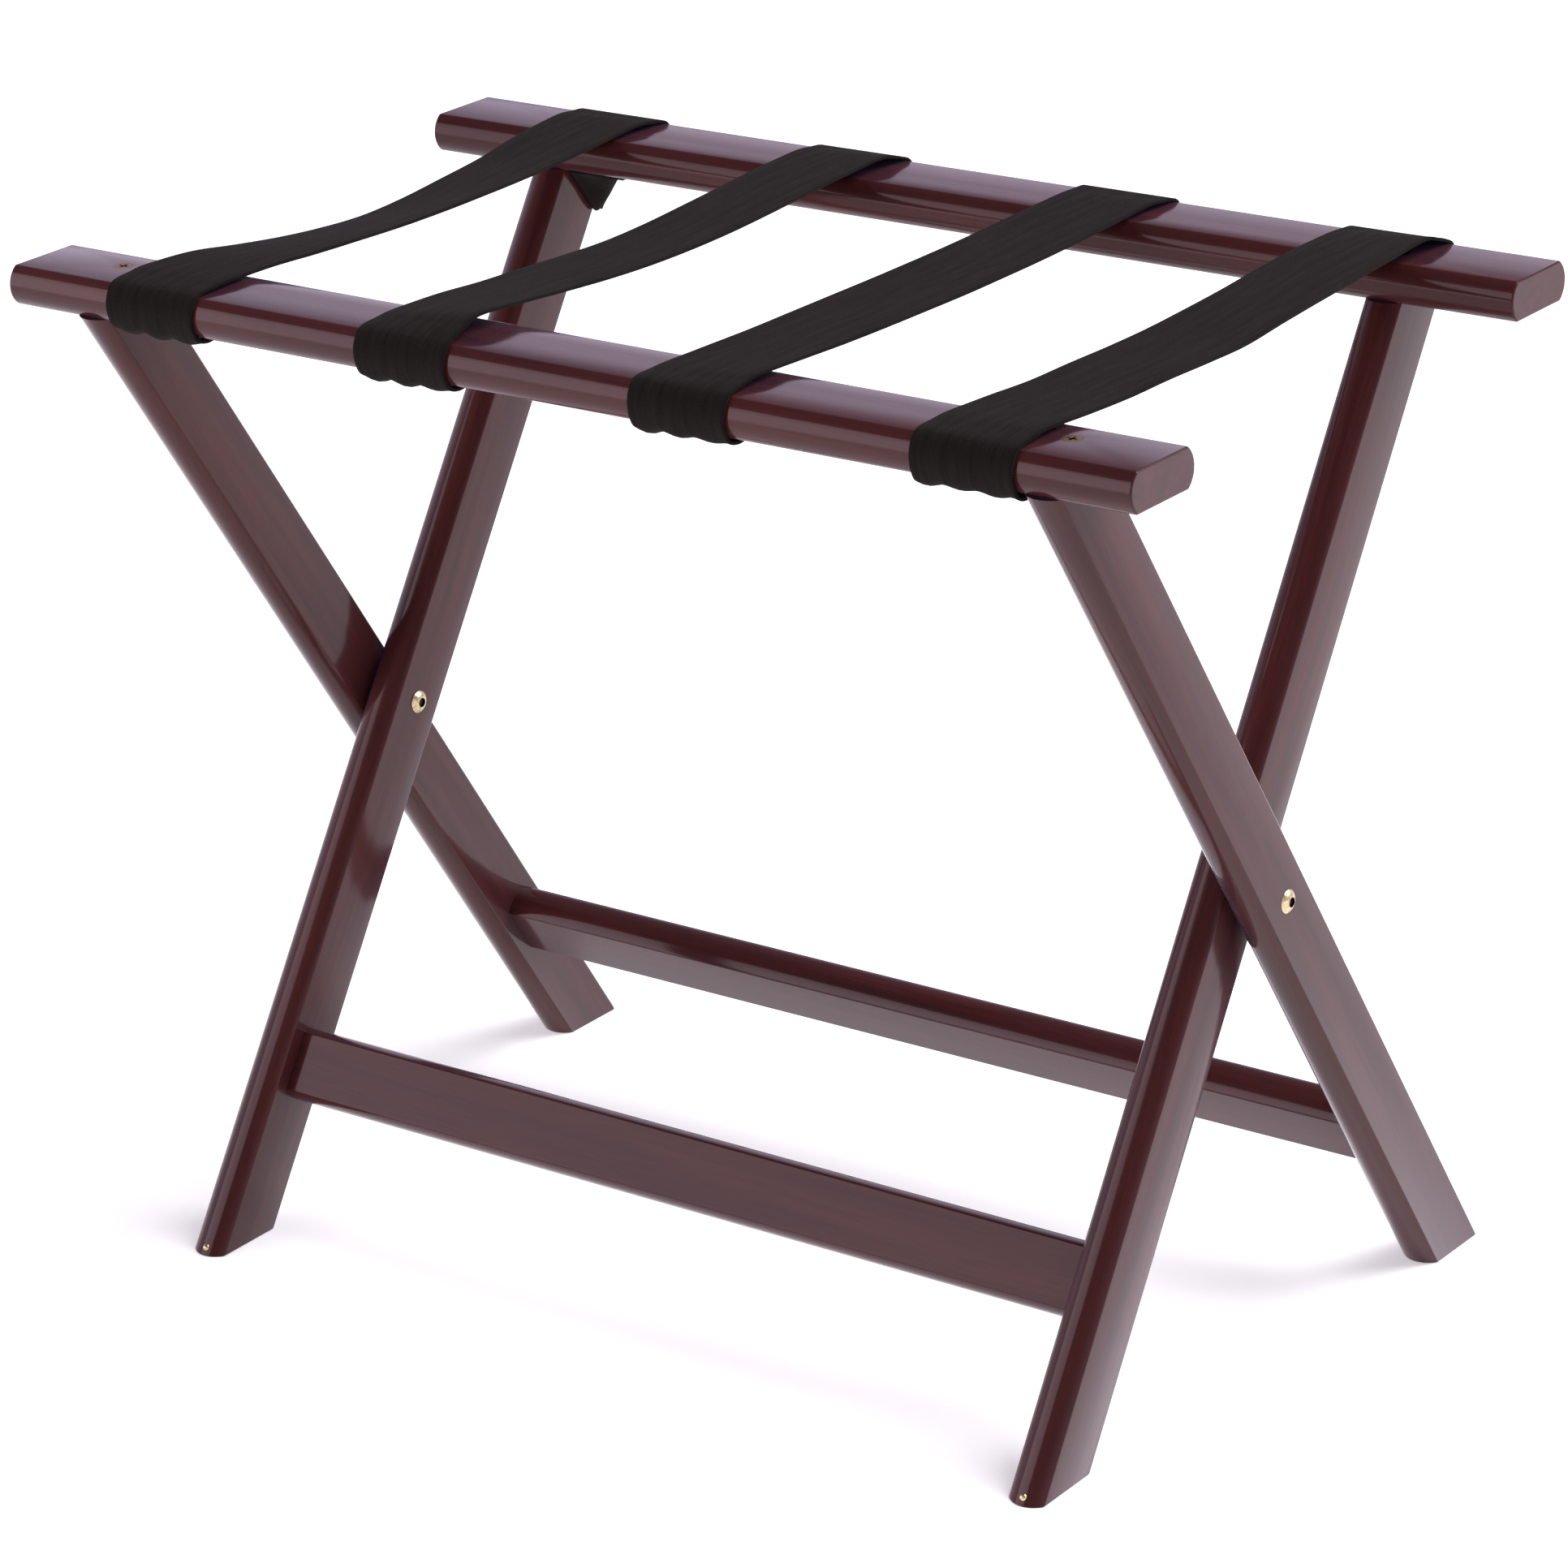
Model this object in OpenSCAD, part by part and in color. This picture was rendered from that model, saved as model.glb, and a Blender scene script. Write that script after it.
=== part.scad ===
// Folding luggage rack: two crossed hardwood frames on a pair of pivot bolts,
// with four webbing straps tacked to the two top rails.
// X runs along the rails, +Y to the rear, +Z up. The origin is on the floor, at the centre.

/* [Overall] */
// Length of both top rails
rail_length = 610; // [500:1:760]
// Height of the rails' top faces above the floor
rack_height = 484; // [400:1:600]
// Distance between the rails' centre lines, front to rear
rail_spacing = 306; // [250:1:380]
// Distance between the feet's centre lines, front to rear
foot_spacing = 300; // [240:1:380]

/* [Rails] */
// Width of a top rail
rail_width = 47.6; // [38:0.1:60]
// Thickness of a top rail
rail_thick = 18.5; // [16:0.1:24]
// How far a rail's rounded side bulges past its flat faces
rail_nose = 4.8; // [3:0.1:7]

/* [Legs] */
// Width of a leg across its flat side
leg_width = 38; // [24:0.1:44]
// Thickness of a leg, along the rails
leg_thick = 18.7; // [15:0.1:22]
// How far a leg's rounded edge bulges past its flat sides
leg_nose = 4; // [2:0.1:6]
// How far the rails reach past the outer legs
rail_overhang = 36.9; // [28:0.1:60]
// Gap between an outer and an inner leg
leg_gap = 3.7; // [3:0.1:8]

/* [Stretchers] */
// Height of a stretcher, along the legs
stretcher_width = 35.3; // [26:0.1:44]
// Thickness of a stretcher
stretcher_thick = 18.2; // [11:0.1:20]
// How far a stretcher's rounded edge bulges past its flat faces
stretcher_nose = 3.3; // [2:0.1:6]
// Distance from the floor to a stretcher's centre, along the leg
stretcher_rise = 90.5; // [70:0.5:130]
// How far a stretcher sits behind the middle of its legs
stretcher_setback = 1; // [0:0.1:2]

/* [Pivots] */
// Diameter of a pivot bolt's shank
bolt_d = 5; // [4:0.1:6]
// Outer diameter of a barrel nut's sleeve
barrel_d = 7.4; // [7:0.1:9]
// Diameter of the bolt heads and barrel nut heads
pivot_head_d = 11; // [10:0.1:16]
// Height of the bolt heads and barrel nut heads
pivot_head_h = 2.4; // [1.5:0.1:4]
// Across flats of the hex recess in the heads
hex_flats = 4; // [3:0.5:5]
// Outer diameter of the spacer washers
washer_d = 19; // [15:0.5:24]

/* [Straps] */
// Width of the webbing
strap_width = 50.8; // [38:0.1:60]
// Thickness of the webbing
strap_thick = 1.8; // [1.2:0.1:2.5]
// Distance from the middle of the rack to an inner strap
strap_inner_x = 75.5; // [60:0.5:95]
// Gap between an outer strap and the outer leg beside it
strap_leg_gap = 3.1; // [3:0.1:20]
// How far all straps sit to the right of their even places
strap_shift = 2.5; // [0:0.1:2.5]
// How far each strap sags at mid span, from left to right
strap_sags = [8, 3.5, 2, 3]; // [1:0.5:20]
// How far a strap's end reaches under its rail, from the rail's outer side
strap_tail = 30; // [24:1:36]

/* [Fasteners] */
// Head diameter of the rail screws
screw_head_d = 9.5; // [8:0.1:11]
// Shank diameter of the rail screws
screw_d = 4.5; // [3.5:0.1:5]
// Length of the rail screws
screw_length = 42; // [36:1:44]
// How far the rail screws sit inside the rails' centre lines
screw_inset = 4; // [2:0.5:6]
// Diameter of the stretcher dowels
dowel_d = 6; // [5:0.5:8]
// Length of the stretcher dowels
dowel_length = 34; // [28:1:40]
// Distance between the two dowels of a joint
dowel_spacing = 15; // [12:0.5:18]
// Head diameter of the strap tacks
tack_head_d = 6; // [5:0.5:8]
// Length of the strap tacks' shanks
tack_length = 12; // [9:0.5:14]
// Head diameter of the foot brads
brad_head_d = 3.4; // [2.5:0.1:4.5]

/* [Hidden] */

// Fit between a fastener and its hole, on the radius
fit = 0.05;
// Gap between the webbing and what it passes
strap_clearance = 0.3;
// Gap that lets the frames turn past a washer
turning_gap = 0.3;
// Overlap used to cut cleanly through a face
cut = 1;
// Smoothness of round shapes
$fn = 96;

// Legs and pivot, in the side view
leg_height = rack_height - rail_thick;
leg_lean = atan((rail_spacing + foot_spacing) / 2 / leg_height);
pivot_z = leg_height * foot_spacing / (rail_spacing + foot_spacing);
outer_leg_x = rail_length / 2 - rail_overhang - leg_thick / 2;
inner_leg_x = outer_leg_x - leg_thick - leg_gap;
rail_z = rack_height - rail_thick / 2;

// Straps, from left to right
strap_outer_x = outer_leg_x - leg_thick / 2 - strap_leg_gap - strap_width / 2;
strap_x = [
    strap_shift - strap_outer_x, strap_shift - strap_inner_x,
    strap_shift + strap_inner_x, strap_shift + strap_outer_x
];
strap_outside = strap_clearance + strap_thick;
rail_flat_half = rail_width / 2 - rail_nose;
span_half = rail_spacing / 2 - rail_flat_half;

// How a strap hangs: each point's distance from mid span as a share of the half span,
// and its drop as a share of the sag
sag_curve = [
    [0, 1], [0.15, 0.97], [0.3, 0.88], [0.45, 0.74], [0.6, 0.57], [0.75, 0.38], [0.88, 0.19], [1, 0]
];

// Tacks sit in the flat of the rail's underside, three to a strap end
tack_shank_d = 1.8;
tack_head_h = 1.2;
tack_y = rail_spacing / 2 + rail_flat_half - tack_head_d / 2 - 1;
tack_edge = tack_head_d / 2 + 2;
notch_gap = 1;

// Screws, dowels and brads
screw_y = rail_spacing / 2 - screw_inset;
screw_slot = 1.2;
dowel_in_leg = 11;
brad_d = 1.4;
brad_length = 5.5;
brad_head_h = 1;
brad_z = 3.8;

// Pivot stack, from the outer leg's outer face to the inner leg's inner face
outer_face_x = outer_leg_x + leg_thick / 2;
inner_face_x = inner_leg_x - leg_thick / 2;
barrel_floor = 3;
barrel_stop = 4;
barrel_length = outer_face_x - inner_face_x - barrel_stop;
bolt_length = barrel_length - barrel_floor - barrel_stop;

wood = [0.32, 0.14, 0.13];
wood_light = [0.45, 0.22, 0.18];
webbing = [0.12, 0.11, 0.11];
brass = [0.78, 0.60, 0.28];
steel = [0.62, 0.62, 0.64];
nylon = [0.08, 0.08, 0.08];

// A board's section: flat faces and rounded edges, width along Y and thickness along X,
// grown evenly by grow
module board_section(width, thick, nose, grow = 0) {
    radius = (pow(thick / 2, 2) + pow(nose, 2)) / (2 * nose);
    centre = width / 2 - radius;
    intersection() {
        square([thick + 2 * grow, width + 2 * grow], center = true);
        union() {
            square([thick + 2 * grow, 2 * (width / 2 - nose)], center = true);
            intersection() {
                translate([0, centre]) circle(r = radius + grow);
                translate([0, width / 4 + grow])
                    square([thick + 2 * grow, width / 2 + 4 * grow], center = true);
            }
            intersection() {
                translate([0, -centre]) circle(r = radius + grow);
                translate([0, -width / 4 - grow])
                    square([thick + 2 * grow, width / 2 + 4 * grow], center = true);
            }
        }
    }
}

// Turns a shape drawn in the Y-Z plane to stand there, run out along X by length
module along_x(length) {
    translate([-length / 2, 0, 0]) rotate([90, 0, 90]) linear_extrude(length) children();
}

// A rail's section in the Y-Z plane, grown by grow
module rail_outline(grow = 0) {
    rotate(90) board_section(rail_width, rail_thick, rail_nose, grow);
}

// Places children at the foot of a leg's centre line and leans them to the leg's axis.
// side is 1 for legs that lean forward towards the top, -1 for legs that lean back.
module on_leg(side) {
    translate([0, side * foot_spacing / 2, 0]) rotate([side * leg_lean, 0, 0]) children();
}

// The pivot hole through both frames
module pivot_bore() {
    translate([0, 0, pivot_z]) rotate([0, 90, 0])
        cylinder(d = barrel_d + 2 * fit, h = rail_length, center = true);
}

// One leg, centred on x = 0, cut level at the floor and under its rail
module leg(side, x) {
    color(wood)
    difference() {
        translate([x, 0, 0]) intersection() {
            on_leg(side) translate([0, 0, -leg_width])
                linear_extrude(leg_height / cos(leg_lean) + 2 * leg_width)
                board_section(leg_width, leg_thick, leg_nose);
            translate([-leg_thick, -rail_spacing, 0]) cube([2 * leg_thick, 2 * rail_spacing, leg_height]);
        }
        pivot_bore();
        screw_shank(-side, x, fit);
        dowels(side, fit);
        at_brad(side, x) brad_shank(fit);
    }
}

// A top rail, with countersinks for its screws and holes for its tacks
module rail(side, x) {
    color(wood)
    difference() {
        translate([0, side * rail_spacing / 2, rail_z]) along_x(rail_length) rail_outline();
        for (end = [-1, 1]) {
            screw_shank(side, end * x, fit);
            screw_head(side, end * x, fit);
        }
        tack_shanks(side, fit);
    }
}

// A stretcher between two legs whose centre lines are at x
module stretcher(side, x) {
    length = 2 * x - leg_thick;
    color(wood)
    difference() {
        on_leg(side) translate([0, stretcher_setback, stretcher_rise])
            rotate([0, 90, 0]) translate([0, 0, -length / 2])
            linear_extrude(length)
                rotate(90) board_section(stretcher_width, stretcher_thick, stretcher_nose);
        dowels(side, fit);
    }
}

// Both pairs of stretcher dowels
module dowels(side, grow = 0) {
    x = side > 0 ? outer_leg_x : inner_leg_x;
    for (end = [-1, 1], row = [-0.5, 0.5])
        on_leg(side) translate([
            end * (x - leg_thick / 2 + dowel_in_leg - dowel_length / 2), stretcher_setback,
            stretcher_rise + row * dowel_spacing
        ])
            rotate([0, 90, 0]) cylinder(d = dowel_d + 2 * grow, h = dowel_length + 2 * grow, center = true);
}

// A rail screw: shank, head, and the two together with a crossed recess
module screw_shank(side, x, grow = 0) {
    translate([x, side * screw_y, rack_height - screw_length - grow])
        cylinder(d = screw_d + 2 * grow, h = screw_length + 2 * grow);
}
module screw_head(side, x, grow = 0) {
    rise = (screw_head_d - screw_d) / 2;
    translate([x, side * screw_y, rack_height - rise - grow])
        cylinder(d1 = screw_d, d2 = screw_head_d + 2 * grow, h = rise + grow);
}
module rail_screws(side, x) {
    color(brass)
    for (end = [-1, 1])
        difference() {
            union() {
                screw_shank(side, end * x);
                screw_head(side, end * x);
            }
            for (turn = [0, 90])
                translate([end * x, side * screw_y, rack_height])
                    rotate(turn) cube([screw_head_d / 2, screw_slot, 2 * screw_slot], center = true);
        }
}

// A shallow dome: a slice of a sphere, flat side down at the origin
module dome(d, height) {
    radius = (pow(d / 2, 2) + pow(height, 2)) / (2 * height);
    intersection() {
        translate([0, 0, height - radius]) sphere(r = radius);
        cylinder(d = d, h = height);
    }
}

// Foot brads, driven square into the rounded edge that faces outwards
module at_brad(side, x) {
    along = (brad_z - leg_width / 2 * sin(leg_lean)) / cos(leg_lean);
    on_leg(side) translate([x, side * leg_width / 2, along]) rotate([-side * 90, 0, 0]) children();
}
module brad_shank(grow = 0) {
    translate([0, 0, -brad_length - grow]) cylinder(d = brad_d + 2 * grow, h = brad_length + 3 * grow);
}
module foot_brads(side, x) {
    color(brass)
    for (end = [-1, 1])
        at_brad(side, end * x) {
            brad_shank();
            dome(brad_head_d, brad_head_h);
        }
}

// The pivots' parts. hand is 1 on the right and -1 on the left, and Z runs outwards.
module at_pivot(hand, x) {
    translate([hand * x, 0, pivot_z]) rotate([0, hand * 90, 0]) children();
}
module pivot_head() {
    difference() {
        dome(pivot_head_d, pivot_head_h);
        translate([0, 0, pivot_head_h / 2]) cylinder(d = hex_flats / cos(30), h = pivot_head_h, $fn = 6);
    }
}
module pivot_bolt(hand) {
    color(brass)
    at_pivot(hand, outer_face_x) {
        pivot_head();
        translate([0, 0, -bolt_length]) cylinder(d = bolt_d, h = bolt_length);
    }
}
module pivot_barrel_nut(hand) {
    color(brass)
    at_pivot(hand, inner_face_x) {
        mirror([0, 0, 1]) translate([0, 0, turning_gap]) pivot_head();
        difference() {
            translate([0, 0, -turning_gap]) cylinder(d = barrel_d, h = barrel_length + turning_gap);
            translate([0, 0, barrel_floor]) cylinder(d = bolt_d + 2 * fit, h = barrel_length);
        }
    }
}
module pivot_washer(hand) {
    color(nylon)
    at_pivot(hand, outer_leg_x - leg_thick / 2 - leg_gap + turning_gap)
        difference() {
            cylinder(d = washer_d, h = leg_gap - turning_gap);
            translate([0, 0, -cut]) cylinder(d = barrel_d + 4 * fit, h = leg_gap + 2 * cut);
        }
}

// The webbing around the rear rail: over the top, down the outer side and under
module strap_wrap() {
    translate([rail_spacing / 2, rail_z]) intersection() {
        difference() {
            rail_outline(strap_outside);
            rail_outline(strap_clearance);
        }
        union() {
            translate([-rail_flat_half, 0]) square([rail_width, rail_thick]);
            translate([rail_width / 2 - strap_tail, -rail_thick]) square([rail_width, rail_thick + cut]);
        }
    }
}

// The span between the rails, as deep at mid span as sag
module strap_span(sag) {
    half = [
        for (point = sag_curve)
            [point[0] * span_half, rack_height + strap_clearance - point[1] * sag]
    ];
    other_half = [for (i = [len(half) - 1:-1:1]) [-half[i][0], half[i][1]]];
    lower = concat(other_half, half);
    upper = [for (i = [len(lower) - 1:-1:0]) lower[i] + [0, strap_thick]];
    polygon(concat(lower, upper));
}

// One strap, cut short of the inner legs under the rear rail, with its tack holes
module strap(index) {
    color(webbing)
    difference() {
        translate([strap_x[index], 0, 0]) along_x(strap_width) {
            strap_span(strap_sags[index]);
            strap_wrap();
            mirror([1, 0]) strap_wrap();
        }
        for (hand = [0, 1]) mirror([hand, 0, 0]) leg_notch();
        for (side = [-1, 1]) tack_shanks(side, 2 * fit);
    }
}
module leg_notch() {
    leg_back = rail_spacing / 2 + leg_width / 2 / cos(leg_lean) + strap_clearance;
    translate([inner_face_x - notch_gap, 0, leg_height - 2 * rail_thick])
        cube([leg_thick + strap_width, leg_back, 2 * rail_thick]);
}

// Tacks under the rails, spread evenly over the width of webbing that is there
function tack_from(x, side) =
    tack_edge + max(x - strap_width / 2, side > 0 ? notch_gap - inner_face_x : -rail_length);
function tack_to(x, side) =
    min(x + strap_width / 2, side > 0 ? inner_face_x - notch_gap : rail_length) - tack_edge;
function tack_xs(side) = [
    for (x = strap_x, part = [0, 0.5, 1]) (1 - part) * tack_from(x, side) + part * tack_to(x, side)
];
module tack_shanks(side, grow = 0) {
    for (x = tack_xs(side))
        translate([x, side * tack_y, leg_height - strap_outside - 2 * fit])
            cylinder(d = tack_shank_d + 2 * grow, h = tack_length + grow);
}
module strap_tacks(side) {
    color(steel) {
        tack_shanks(side);
        for (x = tack_xs(side))
            translate([x, side * tack_y, leg_height - strap_outside - fit])
                mirror([0, 0, 1]) dome(tack_head_d, tack_head_h);
    }
}

rail(-1, outer_leg_x);  // front_rail
leg(1, -outer_leg_x);  // outer_leg_left
leg(1, outer_leg_x);  // outer_leg_right
stretcher(1, outer_leg_x);  // rear_stretcher
rail(1, inner_leg_x);  // rear_rail
leg(-1, -inner_leg_x);  // inner_leg_left
leg(-1, inner_leg_x);  // inner_leg_right
stretcher(-1, inner_leg_x);  // front_stretcher
pivot_bolt(-1);  // pivot_bolt_left
pivot_bolt(1);  // pivot_bolt_right
pivot_barrel_nut(-1);  // pivot_barrel_nut_left
pivot_barrel_nut(1);  // pivot_barrel_nut_right
pivot_washer(-1);  // pivot_washer_left
pivot_washer(1);  // pivot_washer_right
strap(0);  // strap_1
strap(1);  // strap_2
strap(2);  // strap_3
strap(3);  // strap_4
strap_tacks(-1);  // front_strap_tacks
strap_tacks(1);  // rear_strap_tacks
rail_screws(-1, outer_leg_x);  // front_rail_screws
rail_screws(1, inner_leg_x);  // rear_rail_screws
color(wood_light) dowels(-1);  // front_stretcher_dowels
color(wood_light) dowels(1);  // rear_stretcher_dowels
foot_brads(1, outer_leg_x);  // outer_foot_brads
foot_brads(-1, inner_leg_x);  // inner_foot_brads
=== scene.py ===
"""Folding luggage rack: stained boards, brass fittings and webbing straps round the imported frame."""

import math

import bpy
import numpy as np
from mathutils import Matrix, Vector


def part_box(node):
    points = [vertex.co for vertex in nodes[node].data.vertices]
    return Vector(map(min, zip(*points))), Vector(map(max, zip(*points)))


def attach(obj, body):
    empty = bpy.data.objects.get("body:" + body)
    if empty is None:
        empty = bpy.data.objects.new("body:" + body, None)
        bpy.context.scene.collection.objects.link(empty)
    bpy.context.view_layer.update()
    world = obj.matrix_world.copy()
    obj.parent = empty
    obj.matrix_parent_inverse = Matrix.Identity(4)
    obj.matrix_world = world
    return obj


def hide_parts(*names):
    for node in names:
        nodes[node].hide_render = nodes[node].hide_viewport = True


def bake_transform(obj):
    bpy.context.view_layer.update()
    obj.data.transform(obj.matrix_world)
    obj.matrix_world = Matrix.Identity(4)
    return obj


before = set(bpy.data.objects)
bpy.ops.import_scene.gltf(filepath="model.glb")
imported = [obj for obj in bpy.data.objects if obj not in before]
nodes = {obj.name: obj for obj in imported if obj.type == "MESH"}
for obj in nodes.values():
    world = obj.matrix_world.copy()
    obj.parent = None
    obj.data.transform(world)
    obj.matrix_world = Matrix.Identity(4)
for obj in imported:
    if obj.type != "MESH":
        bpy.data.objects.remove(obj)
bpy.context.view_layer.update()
MM = 0.001

# ---------------------------------------------------------------- sizes read from the frame

rail_low, rail_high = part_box("front_rail")
back_low, back_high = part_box("rear_rail")
RAIL_LENGTH = rail_high.x - rail_low.x
RAIL_TOP = rail_high.z
RAIL_UNDER = rail_low.z
RAIL_THICK = RAIL_TOP - RAIL_UNDER
RAIL_WIDTH = rail_high.y - rail_low.y
RAIL_OUTER = back_high.y
RAIL_Y = (back_low.y + back_high.y) / 2
RAIL_NOSE = 4.8 * MM

outer_low, outer_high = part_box("outer_leg_right")
inner_low, inner_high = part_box("inner_leg_right")
LEG_THICK = outer_high.x - outer_low.x
OUTER_LEG_X = (outer_low.x + outer_high.x) / 2
INNER_LEG_X = (inner_low.x + inner_high.x) / 2
LEG_WIDTH = 38.0 * MM
LEG_NOSE = 4.0 * MM
FOOT_Y = 150.0 * MM
LEG_LEAN = math.atan((RAIL_Y + FOOT_Y) / RAIL_UNDER)

STRETCHER_WIDTH = 35.3 * MM
STRETCHER_THICK = 18.2 * MM
STRETCHER_NOSE = 3.3 * MM
STRETCHER_RISE = 90.5 * MM
STRETCHER_SETBACK = 1.0 * MM

SCREW_HEAD = 9.5 * MM
SCREW_SHANK = 4.5 * MM
SCREW_INSET = 4.0 * MM

bolt_low, bolt_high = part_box("pivot_bolt_right")
PIVOT_Z = (bolt_low.z + bolt_high.z) / 2
PIVOT_BORE = 7.5 * MM
# Width of the disc of painted shade round the hinge line, where the pivot heads' sockets are
PIVOT_SOCKET_SHADE = 4.7 * MM

ROUND_STEPS = 14
CORNER_ROUND = 0.5 * MM
END_ROUND = 0.9 * MM
END_STEPS = 3


# ---------------------------------------------------------------- modelling helpers

def fresh(name, add, **where):
    """Adds a primitive with nothing else selected, and names it."""
    bpy.ops.object.select_all(action="DESELECT")
    add(**where)
    piece = bpy.context.object
    piece.name = name
    piece.data.name = name
    return piece


def only(piece):
    bpy.ops.object.select_all(action="DESELECT")
    piece.select_set(True)
    bpy.context.view_layer.objects.active = piece


def edit(piece, mode="VERT"):
    only(piece)
    bpy.ops.object.mode_set(mode="EDIT")
    bpy.ops.mesh.select_mode(type=mode)


def leave():
    bpy.ops.object.mode_set(mode="OBJECT")


def pick_edges(piece, wanted):
    """Selects the edges whose two ends satisfy wanted, and goes to edit mode."""
    edit(piece, "EDGE")
    bpy.ops.mesh.select_all(action="DESELECT")
    leave()
    points = [v.co for v in piece.data.vertices]
    for edge in piece.data.edges:
        edge.select = wanted(points[edge.vertices[0]], points[edge.vertices[1]])
    bpy.ops.object.mode_set(mode="EDIT")


def finish_shape(piece, angle=30):
    """Puts the piece's place in its mesh, turns faces outwards and smooths its curves."""
    only(piece)
    bpy.ops.object.transform_apply(location=True, rotation=True, scale=True)
    edit(piece)
    bpy.ops.mesh.select_all(action="SELECT")
    bpy.ops.mesh.remove_doubles(threshold=0.00001)
    bpy.ops.mesh.normals_make_consistent(inside=False)
    leave()
    bpy.ops.object.shade_smooth_by_angle(angle=math.radians(angle))
    weighted = piece.modifiers.new("even_faces", "WEIGHTED_NORMAL")
    weighted.keep_sharp = True
    bpy.ops.object.modifier_apply(modifier=weighted.name)


def outline(name, width, thick, nose):
    """Draws a board's end in the Y-Z plane: two rounded edges joined by two flat faces."""
    radius = ((thick / 2) ** 2 + nose**2) / (2 * nose)
    flat = width / 2 - nose
    centre = width / 2 - radius
    half_turn = math.asin(thick / 2 / radius)
    board = fresh(name, bpy.ops.mesh.primitive_plane_add, size=thick)
    edit(board)
    bpy.ops.mesh.select_all(action="SELECT")
    bpy.ops.mesh.merge(type="CENTER")
    bpy.ops.transform.translate(value=(0, flat, thick / 2))
    bpy.ops.mesh.spin(steps=ROUND_STEPS, angle=2 * half_turn, center=(0, centre, 0), axis=(1, 0, 0))
    bpy.ops.mesh.extrude_region_move(TRANSFORM_OT_translate={"value": (0, -2 * flat, 0)})
    bpy.ops.mesh.spin(steps=ROUND_STEPS, angle=2 * half_turn, center=(0, -centre, 0), axis=(1, 0, 0))
    bpy.ops.mesh.select_all(action="SELECT")
    bpy.ops.mesh.edge_face_add()
    leave()
    return board


def run_out(board, length):
    """Gives the outline its length along X, centred."""
    edit(board)
    bpy.ops.mesh.select_all(action="SELECT")
    bpy.ops.transform.translate(value=(-length / 2, 0, 0))
    bpy.ops.mesh.extrude_region_move(TRANSFORM_OT_translate={"value": (length, 0, 0)})
    leave()


def ease(piece, wanted, amount, steps=2):
    """Rounds the edges that wanted picks by a small amount, as sanding leaves them."""
    pick_edges(piece, wanted)
    bpy.ops.mesh.bevel(offset=amount, segments=steps, affect="EDGES", clamp_overlap=True)
    leave()


def long_corner(thick, flat):
    """Picks the long corners where a board's flat faces meet its rounded edges."""
    def wanted(a, b):
        on_corner = abs(abs(a.z) - thick / 2) < 1e-6 and abs(abs(a.y) - flat) < 1e-5
        return on_corner and abs(a.x - b.x) > 0.01 and abs(a.y - b.y) < 1e-6 and abs(a.z - b.z) < 1e-6
    return wanted


def make_board(name, width, thick, nose, length):
    board = outline(name, width, thick, nose)
    run_out(board, length)
    ease(board, long_corner(thick, width / 2 - nose), CORNER_ROUND)
    return board


def cut_level(board, height, keep_above):
    """Saws the board level at a height, and closes the cut."""
    edit(board)
    bpy.ops.mesh.select_all(action="SELECT")
    bpy.ops.mesh.bisect(
        plane_co=(0, 0, height), plane_no=(0, 0, 1), use_fill=True,
        clear_inner=keep_above, clear_outer=not keep_above,
    )
    leave()


def cut_out(board, tool):
    """Cuts the tool's shape out of the board, and removes the tool."""
    only(board)
    cut = board.modifiers.new("cut_out", "BOOLEAN")
    cut.operation = "DIFFERENCE"
    cut.solver = "EXACT"
    cut.object = tool
    bpy.ops.object.modifier_apply(modifier=cut.name)
    bpy.data.objects.remove(tool)


def take_over(piece, node, body):
    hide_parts(node)
    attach(piece, body)


# ---------------------------------------------------------------- boards

def make_rail(node, side, screw_x, body):
    """A top rail with eased ends and countersinks for its two screws."""
    rail = make_board(node + "_board", RAIL_WIDTH, RAIL_THICK, RAIL_NOSE, RAIL_LENGTH)
    end = RAIL_LENGTH / 2
    ease(rail, lambda a, b: abs(abs(a.x) - end) < 1e-6 and abs(a.x - b.x) < 1e-6, END_ROUND, END_STEPS)
    rail.location = (0, side * RAIL_Y, RAIL_UNDER + RAIL_THICK / 2)
    finish_shape(rail)
    rise = (SCREW_HEAD - SCREW_SHANK) / 2
    for hand in (-1, 1):
        sink = fresh(
            "countersink", bpy.ops.mesh.primitive_cone_add, vertices=48,
            radius1=SCREW_SHANK / 2, radius2=SCREW_HEAD / 2 + 0.6 * MM, depth=rise + 0.6 * MM,
            location=(hand * screw_x, side * (RAIL_Y - SCREW_INSET), RAIL_TOP - rise / 2 + 0.25 * MM),
        )
        cut_out(rail, sink)
    take_over(rail, node, body)
    return rail


def make_leg(node, side, x, body):
    """A leaning leg, sawn level at the floor and under its rail, with eased foot edges and
    a bore for its pivot."""
    length = RAIL_UNDER / math.cos(LEG_LEAN) + 2 * LEG_WIDTH
    leg = make_board(node + "_board", LEG_WIDTH, LEG_THICK, LEG_NOSE, length)
    stand = Matrix.Rotation(-math.pi / 2, 4, "Y")
    lean = Matrix.Rotation(side * LEG_LEAN, 4, "X")
    lift = Matrix.Translation((0, 0, length / 2 - LEG_WIDTH))
    leg.matrix_world = Matrix.Translation((x, side * FOOT_Y, 0)) @ lean @ lift @ stand
    only(leg)
    bpy.ops.object.transform_apply(location=True, rotation=True, scale=True)
    cut_level(leg, 0, keep_above=True)
    cut_level(leg, RAIL_UNDER, keep_above=False)
    ease(leg, lambda a, b: abs(a.z) < 1e-6 and abs(b.z) < 1e-6, END_ROUND, END_STEPS)
    finish_shape(leg)
    cut_out(leg, fresh(
        "pivot_drill", bpy.ops.mesh.primitive_cylinder_add, vertices=48, radius=PIVOT_BORE / 2,
        depth=3 * LEG_THICK, location=(x, 0, PIVOT_Z), rotation=(0, math.pi / 2, 0),
    ))
    take_over(leg, node, body)
    return leg


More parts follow.
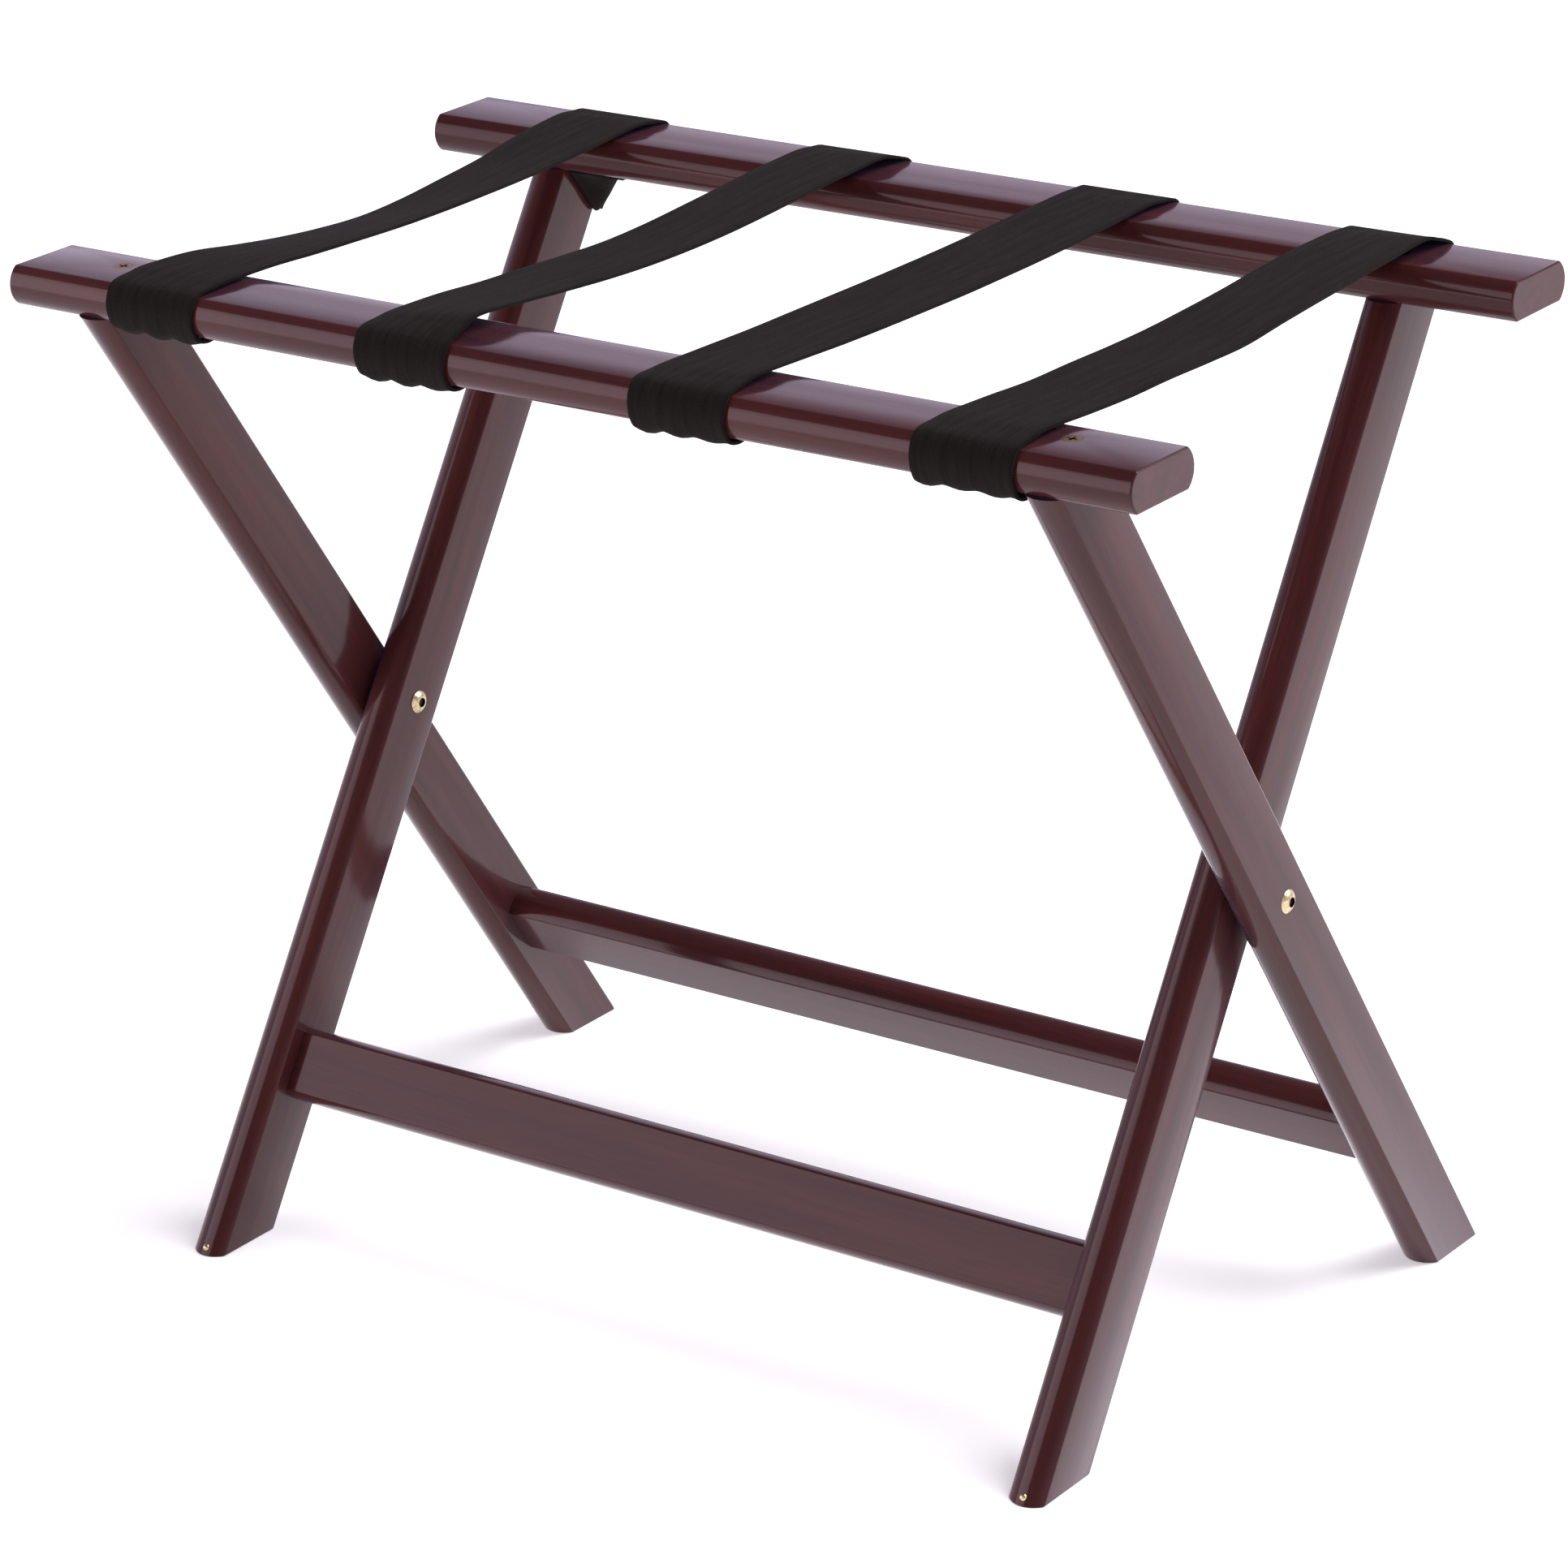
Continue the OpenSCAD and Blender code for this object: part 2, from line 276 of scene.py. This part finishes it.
def make_stretcher(node, side, leg_x, body):
    length = 2 * leg_x - LEG_THICK
    board = make_board(node + "_board", STRETCHER_WIDTH, STRETCHER_THICK, STRETCHER_NOSE, length)
    stand = Matrix.Rotation(math.pi / 2, 4, "X")
    lean = Matrix.Rotation(side * LEG_LEAN, 4, "X")
    rise = Matrix.Translation((0, STRETCHER_SETBACK, STRETCHER_RISE))
    board.matrix_world = Matrix.Translation((0, side * FOOT_Y, 0)) @ lean @ rise @ stand
    finish_shape(board)
    take_over(board, node, body)
    return board


rails = [
    make_rail("front_rail", -1, OUTER_LEG_X, "outer_frame"),
    make_rail("rear_rail", 1, INNER_LEG_X, "inner_frame"),
]
outer_legs = [
    make_leg("outer_leg_left", 1, -OUTER_LEG_X, "outer_frame"),
    make_leg("outer_leg_right", 1, OUTER_LEG_X, "outer_frame"),
]
inner_legs = [
    make_leg("inner_leg_left", -1, -INNER_LEG_X, "inner_frame"),
    make_leg("inner_leg_right", -1, INNER_LEG_X, "inner_frame"),
]
stretchers = [
    make_stretcher("rear_stretcher", 1, OUTER_LEG_X, "outer_frame"),
    make_stretcher("front_stretcher", -1, INNER_LEG_X, "inner_frame"),
]

# ---------------------------------------------------------------- straps

WEBBING_WIDTH = 50.8 * MM
WEBBING_THICK = 1.5 * MM
CORD_PITCH = 0.9 * MM
WEFT_PITCH = 1.1 * MM
SELVEDGE_ROUND = 0.4 * MM
COLUMNS = 21
STEPS = 7
NOSE_RADIUS = ((RAIL_THICK / 2) ** 2 + RAIL_NOSE**2) / (2 * RAIL_NOSE)
CLEAR = 0.35 * MM + WEBBING_THICK / 2
LEG_BACK = RAIL_Y + LEG_WIDTH / 2 / math.cos(LEG_LEAN)
NOTCH_X = INNER_LEG_X - LEG_THICK / 2 - 1.0 * MM
LOOP_WIDTH = 12.0 * MM
# The slack loop from the strap's end outwards: millimetres in from the rail's outer side, and
# depth as a share of the slack
LOOP_SHAPE = ((40, 0), (31, 0.5), (21, 1.0), (10.5, 0.62))
# How far a wrap hangs off the rail, and how much its ripples add, in millimetres
WRAP_DROP = 1.5
WRAP_RIPPLE = 2.3
REAR_DROP = 0.6
# How far a tucked end stands off the leg's back, and how much it bunches, in millimetres
TUCK_STAND = 1.4
TUCK_BUNCH = 3.2
# Half the slit beside a leg, as a share of half the strap's width
SLIT_HALF = 0.01
# Lengthwise stretches that the slit runs along, counted from the strap's rear end
SLIT_STRETCHES = 5

# Height of a strap's upper face above the rail tops, in millimetres, along its left and right
# edge at SPAN_PLACES, which are distances from mid span. The first and last are over the rails.
# hang shifts the ripples, notch is the side that meets an inner leg, tuck is how far the end
# goes down behind that leg, and slack is how deep the loop beside it hangs
SPAN_PLACES = (-150, -120, -90, -60, -30, 0, 30, 60, 90, 120, 150)
STRAPS = {
    "strap_1": dict(
        left=(3.4, 1.8, -2.6, -6.6, -9.5, -11.0, -9.9, -7.2, -4.2, 0.4, 3.2),
        right=(3.4, 3.0, 1.4, 0.2, -0.8, -1.1, -0.8, -0.2, 1.0, 2.8, 4.6),
        hang=0, notch=-1, tuck=25, slack=24,
    ),
    "strap_2": dict(
        left=(3.2, 2.4, 0.3, -1.0, -2.6, -3.6, -3.0, -1.3, 0.6, 2.6, 3.8),
        right=(9.0, 6.9, 4.4, 2.2, 0.8, 0.4, 0.9, 2.3, 4.2, 5.8, 6.8),
        hang=1, notch=0, tuck=0, slack=0,
    ),
    "strap_3": dict(
        left=(2.2, 1.5, 0.8, 0.6, 0.4, 0.2, 0.2, 0.4, 1.0, 1.8, 2.4),
        right=(4.9, 3.8, 2.5, 1.7, 1.2, 0.8, 0.9, 1.2, 2.0, 3.2, 4.4),
        hang=2, notch=0, tuck=0, slack=0,
    ),
    "strap_4": dict(
        left=(2.6, 1.2, -0.6, -1.0, -1.7, -1.8, -1.0, 0.2, 2.0, 3.3, 3.4),
        right=(4.2, 2.4, 1.1, 0.8, -0.1, -0.5, 1.6, 3.4, 5.0, 6.6, 8.0),
        hang=3, notch=1, tuck=6.5, slack=0,
    ),
}


def smooth_line(points, steps):
    """A smooth curve through the points, with the same number of steps between each two."""
    p = np.array(points, float)
    p = np.vstack([2 * p[0] - p[1], p, 2 * p[-1] - p[-2]])
    out = []
    for i in range(1, len(p) - 2):
        for t in np.arange(steps) / steps:
            a, b, c, d = p[i - 1], p[i], p[i + 1], p[i + 2]
            out.append(0.5 * (2 * b + (c - a) * t + (2 * a - 5 * b + 4 * c - d) * t**2
                              + (3 * b - a - 3 * c + d) * t**3))
    out.append(p[-2])
    return np.array(out)


def wrap_stations(lift, drop, tail=None):
    """Points round a rail from the strap's end to the rail's top: distance inward from the
    rail's outer side, and height."""
    middle = (RAIL_TOP + RAIL_UNDER) / 2
    under = RAIL_UNDER - CLEAR
    over = RAIL_TOP + CLEAR
    points = tail or [
        (30.0 * MM, under), (23.0 * MM, under - 0.2 * drop), (15.0 * MM, under - 0.7 * drop),
        (8.5 * MM, under - drop),
    ]
    reach = NOSE_RADIUS + CLEAR
    for angle in (-46, -22, 0, 22, 45):
        turn = math.radians(angle)
        low = drop * max(0.0, -math.sin(turn))
        points.append((NOSE_RADIUS - reach * math.cos(turn), middle + reach * math.sin(turn) - low))
    points += [(6.5 * MM, over + 0.10 * lift), (15.0 * MM, over + 0.58 * lift)]
    return points


def strap_line(u, left, right, hang, notch, tuck, slack, x):
    """One lengthwise line of a strap. u runs from -1 at its left edge to 1 at its right."""
    share = (u + 1) / 2
    bow = 0.25 * (1 - u * u) * math.sin(1.7 * hang + 0.6)
    heights = [a + (b - a) * share + bow for a, b in zip(left, right)]
    heights = [h * MM - WEBBING_THICK / 2 for h in heights]
    near_lift = max(0.0, heights[0] - CLEAR)
    far_lift = max(0.0, heights[-1] - CLEAR)
    ripple = 0.5 - 0.5 * math.cos(3 * math.pi * (u + 1) + 0.5 * hang)
    drop = MM * (WRAP_DROP + WRAP_RIPPLE * ripple * (0.75 + 0.25 * math.cos(2.1 * u + hang)))
    line = [(-(RAIL_OUTER - d), z) for d, z in wrap_stations(near_lift, drop)]
    line += [(y * MM, RAIL_TOP + h) for y, h in zip(SPAN_PLACES, heights)]
    tail = None
    inward = (x + NOTCH_X) / LOOP_WIDTH
    if slack and 0 <= inward:
        loose = MM * slack * max(0.0, 1 - inward**1.5) + 0.3 * drop
        tail = [(d * MM, RAIL_UNDER - CLEAR - part * loose)
                for d, part in LOOP_SHAPE]
        drop = 0.5 * loose / REAR_DROP
    if notch and notch * x > NOTCH_X:
        lean = math.tan(LEG_LEAN)
        tail = []
        for down in (tuck, 0.75 * tuck, 0.5 * tuck, 0.22 * tuck):
            swell = math.sin(math.pi * min(1.0, down / tuck)) * (0.7 + 0.3 * math.cos(5 * u))
            bunch = TUCK_STAND + TUCK_BUNCH * swell
            y = LEG_BACK - lean * down * MM + bunch * MM
            tail.append((RAIL_OUTER - y, RAIL_UNDER - (down + 1.2) * MM))
    far = [(RAIL_OUTER - d, z) for d, z in wrap_stations(far_lift, REAR_DROP * drop, tail)]
    return smooth_line(line + far[::-1], STEPS)


def make_strap(name):
    low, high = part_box(name)
    middle = (low.x + high.x) / 2
    facts = STRAPS[name]
    across = list(np.linspace(-1, 1, COLUMNS))
    if facts["notch"]:
        slit = (facts["notch"] * NOTCH_X - middle) / (WEBBING_WIDTH / 2)
        across = [u for u in across if abs(u - slit) > 3 * SLIT_HALF]
        across = sorted(across + [slit - SLIT_HALF, slit + SLIT_HALF])
    columns = [strap_line(u, x=middle + u * WEBBING_WIDTH / 2, **facts) for u in across]
    rows = len(columns[0])
    points = []
    whole = columns[len(across) // 2]
    along = np.concatenate([[0], np.cumsum(np.linalg.norm(np.diff(whole, axis=0), axis=1))])
    for line, u in zip(columns, across):
        points += [(middle + u * WEBBING_WIDTH / 2, y, z) for y, z in line]
    split_row = rows - 1 - SLIT_STRETCHES * STEPS
    faces = []
    for c in range(len(across) - 1):
        thin = facts["notch"] and across[c + 1] - across[c] < 2.1 * SLIT_HALF
        for r in range(rows - 1):
            if thin and r >= split_row:
                continue
            a = c * rows + r
            faces.append((a, a + rows, a + rows + 1, a + 1))
    mesh = bpy.data.meshes.new(name + "_webbing")
    mesh.from_pydata(points, [], faces)
    piece = bpy.data.objects.new(name + "_webbing", mesh)
    bpy.context.scene.collection.objects.link(piece)
    layer = mesh.uv_layers.new(name="webbing")
    for loop in mesh.loops:
        c, r = divmod(loop.vertex_index, rows)
        layer.data[loop.index].uv = (across[c] * WEBBING_WIDTH / 2, along[r])
    only(piece)
    wall = piece.modifiers.new("thickness", "SOLIDIFY")
    wall.thickness = WEBBING_THICK
    wall.offset = 0
    bpy.ops.object.modifier_apply(modifier=wall.name)
    edge = piece.modifiers.new("selvedge", "BEVEL")
    edge.width = SELVEDGE_ROUND
    edge.segments = 2
    edge.limit_method = "ANGLE"
    edge.angle_limit = math.radians(60)
    bpy.ops.object.modifier_apply(modifier=edge.name)
    edit(piece)
    bpy.ops.mesh.select_all(action="SELECT")
    bpy.ops.mesh.normals_make_consistent(inside=False)
    leave()
    bpy.ops.object.shade_smooth_by_angle(angle=math.radians(50))
    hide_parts(name)
    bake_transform(piece)
    return piece


straps = [make_strap(name) for name in STRAPS]

# ---------------------------------------------------------------- materials

class NodeBench:
    """Places shader nodes in one node tree and links them."""

    def __init__(self, tree):
        self.tree = tree

    def put(self, kind, settings=None, **inputs):
        node = self.tree.nodes.new(kind)
        for key, value in (settings or {}).items():
            setattr(node, key, value)
        for key, value in inputs.items():
            self.feed(node, key.replace("_", " "), value)
        return node

    def feed(self, node, key, value):
        socket = node.inputs[int(key[1:])] if key[0] == "i" and key[1:].isdigit() else node.inputs[key]
        if isinstance(value, bpy.types.NodeSocket):
            self.tree.links.new(value, socket)
        else:
            socket.default_value = value

    def math(self, operation, a, b=0.0):
        return self.put("ShaderNodeMath", {"operation": operation}, i0=a, i1=b).outputs[0]

    def ramp(self, value, *stops):
        node = self.put("ShaderNodeValToRGB", i0=value)
        for i, (place, colour) in enumerate(stops):
            element = node.color_ramp.elements[i] if i < 2 else node.color_ramp.elements.new(place)
            element.position = place
            element.color = (*colour, 1) if len(colour) == 3 else colour
        return node.outputs[0]

    def spread(self, value, low, high):
        """Stretches a value so that low becomes 0 and high becomes 1."""
        node = self.put("ShaderNodeMapRange", i0=value, i1=low, i2=high)
        return node.outputs[0]

    def mix(self, share, a, b):
        node = self.put("ShaderNodeMix", {"data_type": "RGBA"})
        for key, value in ((0, share), (6, a), (7, b)):
            if isinstance(value, bpy.types.NodeSocket):
                self.tree.links.new(value, node.inputs[key])
            else:
                node.inputs[key].default_value = value if key == 0 else (*value, 1)
        return node.outputs[2]


def grain_group():
    """Grain of stained hardwood running along X: streaks, pores and the film's slow waves."""
    group = bpy.data.node_groups.new("stained_grain", "ShaderNodeTree")
    group.interface.new_socket("Position", in_out="INPUT", socket_type="NodeSocketVector")
    for name in ("Streaks", "Pores", "Film"):
        group.interface.new_socket(name, in_out="OUTPUT", socket_type="NodeSocketFloat")
    b = NodeBench(group)
    inside = b.put("NodeGroupInput")
    result = b.put("NodeGroupOutput")
    wide = b.put("ShaderNodeMapping", Vector=inside.outputs[0], Scale=(5, 95, 95))
    warp = b.put("ShaderNodeTexNoise", Vector=wide.outputs[0], Scale=1.0, Detail=5.0, Roughness=0.62,
                 Distortion=0.5)
    narrow = b.put("ShaderNodeMapping", Vector=inside.outputs[0], Scale=(55, 1500, 1500))
    pore = b.put("ShaderNodeTexNoise", Vector=narrow.outputs[0], Scale=1.0, Detail=2.0)
    slow = b.put("ShaderNodeMapping", Vector=inside.outputs[0], Scale=(22, 60, 60))
    film = b.put("ShaderNodeTexNoise", Vector=slow.outputs[0], Scale=1.0, Detail=2.0)
    b.feed(result, "Streaks", b.spread(warp.outputs[0], 0.3, 0.7))
    b.feed(result, "Pores", b.spread(pore.outputs[0], 0.58, 0.72))
    b.feed(result, "Film", film.outputs[0])
    return group


def weave_group():
    """Webbing weave on its own flat map: lengthwise cords crossed by weft."""
    group = bpy.data.node_groups.new("webbing_weave", "ShaderNodeTree")
    group.interface.new_socket("Flat", in_out="INPUT", socket_type="NodeSocketVector")
    for name in ("Cords", "Weft", "Wear"):
        group.interface.new_socket(name, in_out="OUTPUT", socket_type="NodeSocketFloat")
    b = NodeBench(group)
    inside = b.put("NodeGroupInput")
    result = b.put("NodeGroupOutput")
    sway = b.put("ShaderNodeTexNoise", Vector=inside.outputs[0], Scale=55.0, Detail=2.0)
    parts = b.put("ShaderNodeSeparateXYZ", Vector=inside.outputs[0])
    shift = b.math("MULTIPLY", b.math("SUBTRACT", sway.outputs[0], 0.5), 1.6)
    cord_turn = b.math("MULTIPLY", parts.outputs[0], math.pi / CORD_PITCH)
    weft_turn = b.math("ADD", b.math("MULTIPLY", parts.outputs[1], 2 * math.pi / WEFT_PITCH), shift)
    stagger = b.math("MULTIPLY", b.math("SINE", cord_turn), math.pi / 2)
    cords = b.math("ABSOLUTE", b.math("COSINE", cord_turn))
    weft = b.math("SINE", b.math("ADD", weft_turn, stagger))
    stretch = b.put("ShaderNodeMapping", Vector=inside.outputs[0], Scale=(300, 22, 1))
    wear = b.put("ShaderNodeTexNoise", Vector=stretch.outputs[0], Scale=1.0, Detail=4.0, Roughness=0.6)
    b.feed(result, "Cords", cords)
    b.feed(result, "Weft", b.math("ADD", b.math("MULTIPLY", weft, 0.5), 0.5))
    b.feed(result, "Wear", wear.outputs[0])
    return group


GRAIN = grain_group()
WEAVE = weave_group()


def new_material(name):
    material = bpy.data.materials.new(name)
    material.use_nodes = True
    tree = material.node_tree
    shader = tree.nodes["Principled BSDF"]
    return material, NodeBench(tree), shader


def mahogany(name, turn, place, coat=1.0):
    """Dark red-brown stain under a gloss lacquer, with the grain along the board."""
    material, b, shader = new_material(name)
    where = b.put("ShaderNodeTexCoord").outputs["Object"]
    laid = b.put("ShaderNodeMapping", Vector=where, Rotation=turn, Location=place)
    grain = b.put("ShaderNodeGroup", {"node_tree": GRAIN}, Position=laid.outputs[0])
    stain = b.ramp(
        grain.outputs["Streaks"],
        (0.0, (0.031, 0.0062, 0.0058)),
        (1.0, (0.060, 0.0122, 0.0105)),
        (0.5, (0.044, 0.0088, 0.0078)),
    )
    pored = b.mix(b.math("MULTIPLY", grain.outputs["Pores"], 0.4), stain, (0.014, 0.005, 0.005))
    b.feed(shader, "Base Color", pored)
    shader.inputs["Roughness"].default_value = 0.55
    shader.inputs["Specular IOR Level"].default_value = 0.05
    shader.inputs["Coat Weight"].default_value = coat
    shader.inputs["Sheen Weight"].default_value = 0.07
    shader.inputs["Sheen Roughness"].default_value = 0.4
    shader.inputs["Sheen Tint"].default_value = (0.50, 0.52, 1.0, 1)
    shader.inputs["Coat Roughness"].default_value = 0.12
    shader.inputs["Coat IOR"].default_value = 1.31
    height = b.math("SUBTRACT", grain.outputs["Film"], b.math("MULTIPLY", grain.outputs["Pores"], 0.12))
    bump = b.put("ShaderNodeBump", Strength=0.2, Distance=0.0002, Height=height)
    b.feed(shader, "Normal", bump.outputs[0])
    b.feed(shader, "Coat Normal", bump.outputs[0])
    return material


def webbing_material():
    """Matt black webbing with its weave, a little worn along its length."""
    material, b, shader = new_material("black_webbing")
    flat = b.put("ShaderNodeUVMap", {"uv_map": "webbing"}).outputs[0]
    weave = b.put("ShaderNodeGroup", {"node_tree": WEAVE}, Flat=flat)
    tone = b.ramp(weave.outputs["Wear"], (0.36, (0.0044, 0.0036, 0.0030)), (0.64, (0.0120, 0.0096, 0.0076)))
    threads = b.math("MULTIPLY", weave.outputs["Cords"], weave.outputs["Weft"])
    shaded = b.mix(b.math("MULTIPLY", threads, 0.6), tone, (0.0150, 0.0125, 0.0104))
    b.feed(shader, "Base Color", shaded)
    shader.inputs["Roughness"].default_value = 0.9
    shader.inputs["Specular IOR Level"].default_value = 0.05
    shader.inputs["Sheen Weight"].default_value = 0.02
    shader.inputs["Sheen Roughness"].default_value = 0.5
    bump = b.put("ShaderNodeBump", Strength=0.5, Distance=0.00025, Height=threads)
    b.feed(shader, "Normal", bump.outputs[0])
    return material


WORN = 0.1


def metal(name, low, high, rough, scale, socket=0):
    """Plated metal with faint handling marks. Given socket, it also gets painted shade: a dull dark disc
    round the hinge line, standing in for the shade inside the pivot heads' sockets.
    """
    material, b, shader = new_material(name)
    where = b.put("ShaderNodeTexCoord").outputs["Object"]
    marks = b.put("ShaderNodeTexNoise", Vector=where, Scale=scale, Detail=4.0)
    colour = b.ramp(marks.outputs[0], (0.35, low), (0.65, high))
    # Painted shade: within socket / 2 of the hinge line the colour is mixed to near black, for the shade in
    # the pivot heads' hex sockets
    if socket:
        across = b.put("ShaderNodeMapping", Vector=where, Location=(0, 0, -PIVOT_Z), Scale=(0, 1, 1))
        away = b.put("ShaderNodeVectorMath", {"operation": "LENGTH"}, Vector=across.outputs[0])
        inside = b.math("LESS_THAN", away.outputs["Value"], socket / 2)
        colour = b.mix(inside, colour, (0.02, 0.012, 0.006))
    b.feed(shader, "Base Color", colour)
    worn = b.put("ShaderNodeMapRange", i0=marks.outputs[0], i3=rough - WORN, i4=rough + WORN)
    b.feed(shader, "Roughness", worn.outputs[0])
    shader.inputs["Metallic"].default_value = 1.0
    bump = b.put("ShaderNodeBump", Strength=0.15, Distance=0.0002, Height=marks.outputs[0])
    b.feed(shader, "Normal", bump.outputs[0])
    return material


def matt_finish(name, low, high, scale, rough):
    """A matt surface with fine specks, for the beech dowels and the nylon washers."""
    material, b, shader = new_material(name)
    where = b.put("ShaderNodeTexCoord").outputs["Object"]
    speck = b.put("ShaderNodeTexNoise", Vector=where, Scale=scale, Detail=3.0)
    b.feed(shader, "Base Color", b.ramp(speck.outputs[0], (0.3, low), (0.7, high)))
    shader.inputs["Roughness"].default_value = rough
    bump = b.put("ShaderNodeBump", Strength=0.3, Distance=0.0002, Height=speck.outputs[0])
    b.feed(shader, "Normal", bump.outputs[0])
    return material


def paint(pieces, material):
    for piece in pieces:
        piece.data.materials.clear()
        piece.data.materials.append(material)


upright = math.pi / 2
paint([rails[0]], mahogany("mahogany_front_rail", (0, 0, 0), (0.13, 0.4, 0.2)))
paint([rails[1]], mahogany("mahogany_rear_rail", (0, 0, 0), (0.61, 0.1, 0.7), coat=0.75))
paint(outer_legs, mahogany("mahogany_outer_legs", (-LEG_LEAN, upright, 0), (0.3, 0.2, 0.5)))
paint(inner_legs, mahogany("mahogany_inner_legs", (LEG_LEAN, upright, 0), (0.8, 0.3, 0.1)))
paint(stretchers, mahogany("mahogany_stretchers", (0, 0, 0), (0.27, 0.9, 0.35)))
paint(straps, webbing_material())

# The pivot brass gets painted shade round the hinge line, in its sockets
brass = metal("polished_brass", (0.46, 0.37, 0.20), (0.74, 0.63, 0.40), 0.3, 900, PIVOT_SOCKET_SHADE)
# Brass darker than the pivot brass, partly for the screws' own duller brass and partly as painted shade of
# the holes they sit in
darkened_screw_brass = metal("golden_screws", (0.13, 0.060, 0.018), (0.34, 0.17, 0.05), 0.35, 700)
steel = metal("tack_steel", (0.20, 0.20, 0.21), (0.36, 0.36, 0.37), 0.4, 900)
beech = matt_finish("beech_dowel", (0.42, 0.27, 0.15), (0.55, 0.38, 0.22), 260, 0.6)
nylon = matt_finish("black_nylon", (0.008, 0.008, 0.008), (0.018, 0.018, 0.018), 800, 0.5)
paint([nodes[n] for n in nodes if n.startswith("pivot_bolt") or n.startswith("pivot_barrel")], brass)
paint([nodes[n] for n in nodes if n.endswith("foot_brads")], brass)
paint([nodes[n] for n in nodes if n.endswith("rail_screws")], darkened_screw_brass)
paint([nodes[n] for n in nodes if n.endswith("strap_tacks")], steel)
paint([nodes[n] for n in nodes if n.endswith("dowels")], beech)
paint([nodes[n] for n in nodes if n.startswith("pivot_washer")], nylon)

# ---------------------------------------------------------------- floor, light and camera

floor = fresh("floor", bpy.ops.mesh.primitive_plane_add, size=40, location=(0, 0, 0))
material, b, shader = new_material("pale_floor")
shader.inputs["Base Color"].default_value = (0.93, 0.93, 0.93, 1)
shader.inputs["Roughness"].default_value = 0.9
shader.inputs["Specular IOR Level"].default_value = 0.1
shader.inputs["Emission Color"].default_value = (1.0, 1.0, 1.0, 1)
shader.inputs["Emission Strength"].default_value = 0.38
paint([floor], material)

world = bpy.data.worlds.new("studio")
bpy.context.scene.world = world
world.use_nodes = True
b = NodeBench(world.node_tree)
sky = b.put("ShaderNodeSeparateXYZ", Vector=b.put("ShaderNodeTexCoord").outputs["Generated"])
light = b.ramp(sky.outputs[2], (0.0, (0.92, 0.82, 1.02)), (1.0, (0.10, 0.10, 0.11)),
               (0.33, (0.92, 0.82, 1.02)), (0.52, (0.14, 0.13, 0.16)))
b.feed(world.node_tree.nodes["Background"], "Color", light)
world.node_tree.nodes["Background"].inputs["Strength"].default_value = 1.0


def panel(name, place, aim, size, power, colour):
    """A soft rectangular light that points at aim."""
    data = bpy.data.lights.new(name, "AREA")
    data.shape = "RECTANGLE"
    data.size, data.size_y = size
    data.energy = power
    data.color = colour
    lamp = bpy.data.objects.new(name, data)
    bpy.context.scene.collection.objects.link(lamp)
    lamp.location = place
    lamp.rotation_euler = (Vector(aim) - Vector(place)).to_track_quat("-Z", "Y").to_euler()
    return lamp


panel("top_light", (3.2, 2.6, 5.0), (0, 0.2, 0), (5.0, 5.0), 600, (0.97, 0.95, 1.0))
panel("front_light", (-2.0, -2.6, 1.1), (0, 0, 0.45), (2.4, 2.4), 48, (1.0, 0.82, 0.90))

YAW, PITCH, ROLL = 0.64493, 0.36855, -0.039
CAMERA_PLACE = (1.5144, -2.0217, 1.2083)
CAMERA_LENS = 133.67
forward = Vector((-math.sin(YAW) * math.cos(PITCH), math.cos(YAW) * math.cos(PITCH), -math.sin(PITCH)))
right = forward.cross(Vector((0, 0, 1))).normalized()
up = right.cross(forward)
rolled_right = math.cos(ROLL) * right + math.sin(ROLL) * up
rolled_up = -math.sin(ROLL) * right + math.cos(ROLL) * up
camera_data = bpy.data.cameras.new("camera")
camera_data.lens = CAMERA_LENS
camera_data.sensor_width = 36
camera_data.dof.use_dof = False
camera = bpy.data.objects.new("camera", camera_data)
bpy.context.scene.collection.objects.link(camera)
pose = Matrix((rolled_right, rolled_up, -forward)).transposed().to_4x4()
pose.translation = CAMERA_PLACE
camera.matrix_world = pose
bpy.context.scene.camera = camera
bpy.context.scene.view_settings.view_transform = "Standard"
